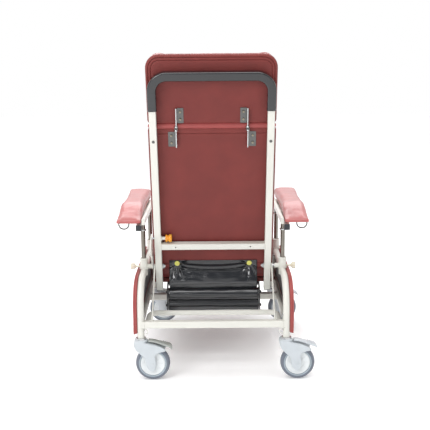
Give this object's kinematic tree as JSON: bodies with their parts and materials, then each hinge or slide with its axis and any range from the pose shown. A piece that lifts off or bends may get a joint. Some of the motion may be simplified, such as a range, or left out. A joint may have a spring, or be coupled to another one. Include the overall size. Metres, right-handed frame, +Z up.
{
  "type": "patient recliner chair",
  "caption": "Wheeled patient recliner: padded back with tilting headrest and push handle, sliding seat, lifting leg-rest, height-adjustable armrests, braked casters.",
  "frame": {"origin": "on the floor, under the centre of the chair", "axes": "+Z up, the chair faces -Y, +X is the patient's left side"},
  "size_m": [0.7355, 0.9315, 1.1775],
  "materials": {
    "cream_paint": "gloss powder coat",
    "steel": "satin",
    "chrome": "polished",
    "black_steel": "satin",
    "vinyl_red": "grained vinyl over foam",
    "vinyl_red_board": "grained vinyl over board",
    "vinyl_black": "glossy vinyl",
    "rubber_black": "smooth",
    "plug_black": "moulded",
    "amber": "moulded",
    "washer_yellow": "moulded",
    "clamp_plastic": "moulded",
    "caster_grey": "moulded",
    "hub_grey": "moulded",
    "tyre_grey": "moulded rubber"
  },
  "bodies": {
    "base": {"side_frame_left": "cream_paint", "side_frame_right": "cream_paint", "cross_tubes": "cream_paint", "side_panel_left": "vinyl_red_board", "side_panel_right": "vinyl_red_board", "panel_linings": "vinyl_black", "stay_rods": "cream_paint", "pivot_bolts": "steel", "caster_stems": "steel"},
    "back": {"back_frame": "cream_paint", "handle_sleeve": "rubber_black", "back_board": "vinyl_red_board", "back_cushion": "vinyl_red", "headrest_hinge_lower": "steel", "flap_washers": "washer_yellow", "flap_top": "vinyl_black", "plunger_guide": "cream_paint"},
    "plunger": {"plunger_pin": "steel", "pull_knob": "amber"},
    "headrest": {"headrest_board": "vinyl_red_board", "headrest_cushion": "vinyl_red", "headrest_hinge_upper": "steel"},
    "flap": {"flap_skirt": "vinyl_black"},
    "seat": {"seat_board": "vinyl_red_board", "seat_cushion": "vinyl_red", "seat_rails": "black_steel", "guard_brackets": "black_steel", "guard_pad": "vinyl_black"},
    "legrest": {"legrest_board": "vinyl_red_board", "legrest_pad": "vinyl_red", "legrest_arms": "black_steel"},
    "footrest": {"footplate": "steel"},
    "arm_left": {"arm_frame_left": "cream_paint", "arm_posts_left": "chrome", "arm_pad_left": "vinyl_red", "arm_plugs_left": "plug_black", "tray_loop_left": "steel"},
    "arm_right": {"arm_frame_right": "cream_paint", "arm_posts_right": "chrome", "arm_pad_right": "vinyl_red", "arm_plugs_right": "plug_black", "tray_loop_right": "steel"},
    "knob_left": {"clamp_knob_left": "clamp_plastic"},
    "knob_right": {"clamp_knob_right": "clamp_plastic"},
    "caster_rear_left": {"fork_rear_left": "caster_grey"},
    "wheel_rear_left": {"hub_rear_left": "hub_grey", "tyre_rear_left": "tyre_grey"},
    "brake_rear_left": {"pedal_rear_left": "caster_grey"},
    "caster_rear_right": {"fork_rear_right": "caster_grey"},
    "wheel_rear_right": {"hub_rear_right": "hub_grey", "tyre_rear_right": "tyre_grey"},
    "brake_rear_right": {"pedal_rear_right": "caster_grey"},
    "caster_front_left": {"fork_front_left": "caster_grey"},
    "wheel_front_left": {"hub_front_left": "hub_grey", "tyre_front_left": "tyre_grey"},
    "brake_front_left": {"pedal_front_left": "caster_grey"},
    "caster_front_right": {"fork_front_right": "caster_grey"},
    "wheel_front_right": {"hub_front_right": "hub_grey", "tyre_front_right": "tyre_grey"},
    "brake_front_right": {"pedal_front_right": "caster_grey"}
  },
  "joints": [
    {"name": "back_recline", "type": "hinge", "parent": "base", "child": "back", "pos_m": [0, 0.252, 0.377], "axis": [-1, 0, 0], "range_deg": [0, 35]},
    {"name": "plunger_pull", "type": "slide", "parent": "back", "child": "plunger", "axis": [-1, 0, 0], "range_m": [0, 0.012], "stiffness_N_per_m": 600, "springref_m": -0.006},
    {"name": "headrest_tilt", "type": "hinge", "parent": "back", "child": "headrest", "pos_m": [0, 0.38106, 0.90963], "axis": [1, 0, 0], "range_deg": [0, 25]},
    {"name": "flap_hang", "type": "hinge", "parent": "back", "child": "flap", "pos_m": [0, 0.23602, 0.37282], "axis": [-1, 0, 0], "range_deg": [-35, 0]},
    {"name": "seat_slide", "type": "slide", "parent": "base", "child": "seat", "axis": [0, -1, 0], "range_m": [0, 0.055]},
    {"name": "legrest_lift", "type": "hinge", "parent": "seat", "child": "legrest", "pos_m": [0, -0.297, 0.322], "axis": [-1, 0, 0], "range_deg": [0, 75]},
    {"name": "footplate_fold", "type": "hinge", "parent": "legrest", "child": "footrest", "pos_m": [0, -0.373, 0.092], "axis": [-1, 0, 0], "range_deg": [0, 88]},
    {"name": "arm_height_left", "type": "slide", "parent": "base", "child": "arm_left", "axis": [0, 0, 1], "range_m": [-0.055, 0.03]},
    {"name": "arm_height_right", "type": "slide", "parent": "base", "child": "arm_right", "axis": [0, 0, 1], "range_m": [-0.055, 0.03]},
    {"name": "clamp_turn_left", "type": "hinge", "parent": "base", "child": "knob_left", "pos_m": [0.3, 0.252, 0.377], "axis": [1, 0, 0], "range_deg": [0, 270]},
    {"name": "clamp_turn_right", "type": "hinge", "parent": "base", "child": "knob_right", "pos_m": [-0.3, 0.252, 0.377], "axis": [-1, 0, 0], "range_deg": [0, 270]},
    {"name": "swivel_rear_left", "type": "hinge", "parent": "base", "child": "caster_rear_left", "pos_m": [0.264, 0.434, 0.14], "axis": [0, 0, 1], "continuous": true},
    {"name": "roll_rear_left", "type": "hinge", "parent": "caster_rear_left", "child": "wheel_rear_left", "pos_m": [0.2225, 0.434, 0.0625], "axis": [0, 1, 0], "continuous": true},
    {"name": "brake_press_rear_left", "type": "hinge", "parent": "caster_rear_left", "child": "brake_rear_left", "pos_m": [0.234, 0.434, 0.14], "axis": [0, -1, 0], "range_deg": [0, 8]},
    {"name": "swivel_rear_right", "type": "hinge", "parent": "base", "child": "caster_rear_right", "pos_m": [-0.264, 0.434, 0.14], "axis": [0, 0, 1], "continuous": true},
    {"name": "roll_rear_right", "type": "hinge", "parent": "caster_rear_right", "child": "wheel_rear_right", "pos_m": [-0.3055, 0.434, 0.0625], "axis": [0, 1, 0], "continuous": true},
    {"name": "brake_press_rear_right", "type": "hinge", "parent": "caster_rear_right", "child": "brake_rear_right", "pos_m": [-0.294, 0.434, 0.14], "axis": [0, -1, 0], "range_deg": [0, 8]},
    {"name": "swivel_front_left", "type": "hinge", "parent": "base", "child": "caster_front_left", "pos_m": [0.264, -0.208, 0.14], "axis": [0, 0, 1], "continuous": true},
    {"name": "roll_front_left", "type": "hinge", "parent": "caster_front_left", "child": "wheel_front_left", "pos_m": [0.2225, -0.208, 0.0625], "axis": [0, 1, 0], "continuous": true},
    {"name": "brake_press_front_left", "type": "hinge", "parent": "caster_front_left", "child": "brake_front_left", "pos_m": [0.234, -0.208, 0.14], "axis": [0, -1, 0], "range_deg": [0, 8]},
    {"name": "swivel_front_right", "type": "hinge", "parent": "base", "child": "caster_front_right", "pos_m": [-0.264, -0.208, 0.14], "axis": [0, 0, 1], "continuous": true},
    {"name": "roll_front_right", "type": "hinge", "parent": "caster_front_right", "child": "wheel_front_right", "pos_m": [-0.3055, -0.208, 0.0625], "axis": [0, 1, 0], "continuous": true},
    {"name": "brake_press_front_right", "type": "hinge", "parent": "caster_front_right", "child": "brake_front_right", "pos_m": [-0.294, -0.208, 0.14], "axis": [0, -1, 0], "range_deg": [0, 8]}
  ],
  "couplings": [
    {"joint": "flap_hang", "follows": "back_recline", "ratio": -1},
    {"joint": "seat_slide", "follows": "back_recline", "m_per_rad": 0.09},
    {"joint": "legrest_lift", "follows": "back_recline", "ratio": 2.14}
  ]
}
